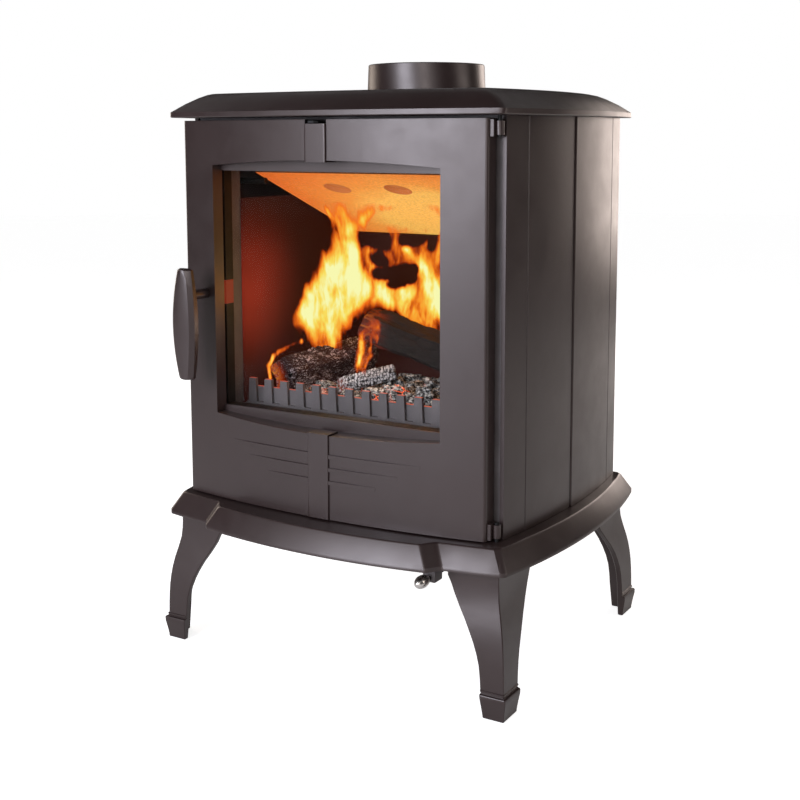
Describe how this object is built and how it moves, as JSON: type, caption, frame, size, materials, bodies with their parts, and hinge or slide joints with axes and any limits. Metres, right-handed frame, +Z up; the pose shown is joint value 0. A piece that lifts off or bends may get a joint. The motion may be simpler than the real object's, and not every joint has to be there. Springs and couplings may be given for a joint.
{
  "type": "wood stove",
  "caption": "Free-standing cast iron wood stove on splayed legs, with a bowed glazed door, dished top, flue collar and sliding air controls.",
  "frame": {"origin": "on the floor, under the middle of the stove's bounding box", "axes": "+Z up, -Y towards the room in front of the door, +X to the right of someone facing the door"},
  "size_m": [0.5142, 0.4371, 0.7265],
  "materials": {
    "satin_iron": "satin anthracite stove paint",
    "raw_iron": "matt, unpainted",
    "black_steel": "matt black",
    "bright_steel": "polished",
    "fire_brick": "rough vermiculite board",
    "charred_wood": "charred and ashy",
    "glass": "clear ceramic glass",
    "rope": "black glass-fibre rope",
    "embers": "loose ash and embers"
  },
  "bodies": {
    "stove": {"base_plate": "satin_iron", "top_plate": "satin_iron", "flue_collar": "satin_iron", "side_panel_front_left": "satin_iron", "side_panel_front_right": "satin_iron", "side_panel_rear_left": "satin_iron", "side_panel_rear_right": "satin_iron", "back_panel": "satin_iron", "leg_front_left": "satin_iron", "leg_front_right": "satin_iron", "leg_rear_left": "satin_iron", "leg_rear_right": "satin_iron", "front_frame": "raw_iron", "firebox_floor": "raw_iron", "grate": "raw_iron", "log_fence": "raw_iron", "air_guide": "raw_iron", "ash_pan_runner_left": "raw_iron", "ash_pan_runner_right": "raw_iron", "tie_rod_front_left": "black_steel", "tie_rod_front_right": "black_steel", "tie_rod_rear_left": "black_steel", "tie_rod_rear_right": "black_steel", "leg_bolt_front_left": "black_steel", "leg_bolt_front_right": "black_steel", "leg_bolt_rear_left": "black_steel", "leg_bolt_rear_right": "black_steel", "air_plate_strap": "black_steel", "baffle_peg_left": "black_steel", "baffle_peg_right": "black_steel", "ash_pan": "black_steel", "hinge_pin_upper": "bright_steel", "hinge_pin_lower": "bright_steel", "side_liner_left": "fire_brick", "side_liner_right": "fire_brick", "back_liner": "fire_brick", "baffle_plate": "fire_brick", "log_left": "charred_wood", "log_right": "charred_wood", "log_front": "charred_wood", "log_small": "charred_wood", "ember_bed": "embers"},
    "door": {"door_casting": "satin_iron", "door_glass": "glass", "door_rope": "rope", "glass_retainer_bottom": "black_steel", "glass_retainer_top": "black_steel", "glass_retainer_right": "black_steel", "glass_retainer_left_lower": "black_steel", "glass_retainer_left_upper": "black_steel", "latch_guard": "black_steel"},
    "handle": {"door_handle": "satin_iron", "handle_spindle": "black_steel", "latch_cam": "black_steel"},
    "primary_air": {"air_knob": "bright_steel", "air_slider": "black_steel"},
    "air_wash": {"air_wash_slider": "bright_steel"}
  },
  "joints": [
    {"name": "door_hinge", "type": "hinge", "parent": "stove", "child": "door", "pos_m": [0.2095, -0.141, 0.1915], "axis": [0, 0, 1], "range_deg": [0, 110]},
    {"name": "handle_turn", "type": "hinge", "parent": "door", "child": "handle", "pos_m": [-0.18, -0.1345, 0.4455], "axis": [0, 1, 0], "range_deg": [0, 90]},
    {"name": "primary_air_slide", "type": "slide", "parent": "stove", "child": "primary_air", "axis": [0, -1, 0], "range_m": [0, 0.03]},
    {"name": "air_wash_slide", "type": "slide", "parent": "stove", "child": "air_wash", "axis": [1, 0, 0], "range_m": [0, 0.01]}
  ]
}
